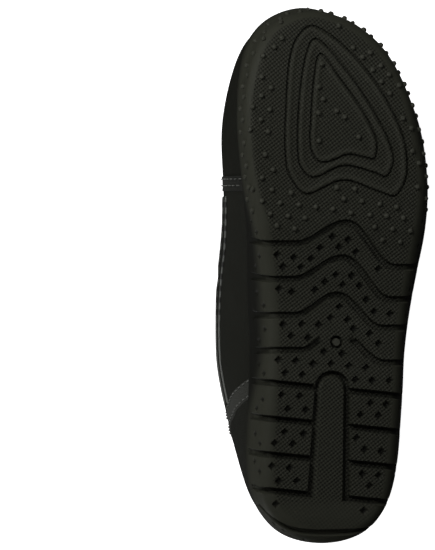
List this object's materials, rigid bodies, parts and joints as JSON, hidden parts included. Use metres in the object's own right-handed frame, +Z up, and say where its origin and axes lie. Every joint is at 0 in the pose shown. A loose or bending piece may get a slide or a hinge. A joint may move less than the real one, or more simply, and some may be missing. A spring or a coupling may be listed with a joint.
{
  "type": "water shoe",
  "caption": "Left water shoe with a low rubber cup sole, grooved tread and soft pull-on cloth upper, open at the collar, lying on its lateral side.",
  "frame": {"origin": "centre of the bounding box at its bottom, on the floor that the shoe lies on", "axes": "+X along the shoe from heel to toe, +Z up from the floor with the medial side uppermost, and the tread faces -Y, leaning back by 11.1 degrees"},
  "size_m": [0.2838, 0.0918, 0.1079],
  "materials": {
    "outsole_rubber": "matte",
    "insole_foam": "matte",
    "upper_cloth": "matte",
    "binding_cloth": "matte"
  },
  "bodies": {
    "root": {"outsole": "outsole_rubber", "insole": "insole_foam", "upper": "upper_cloth", "collar_binding": "binding_cloth"}
  },
  "joints": []
}
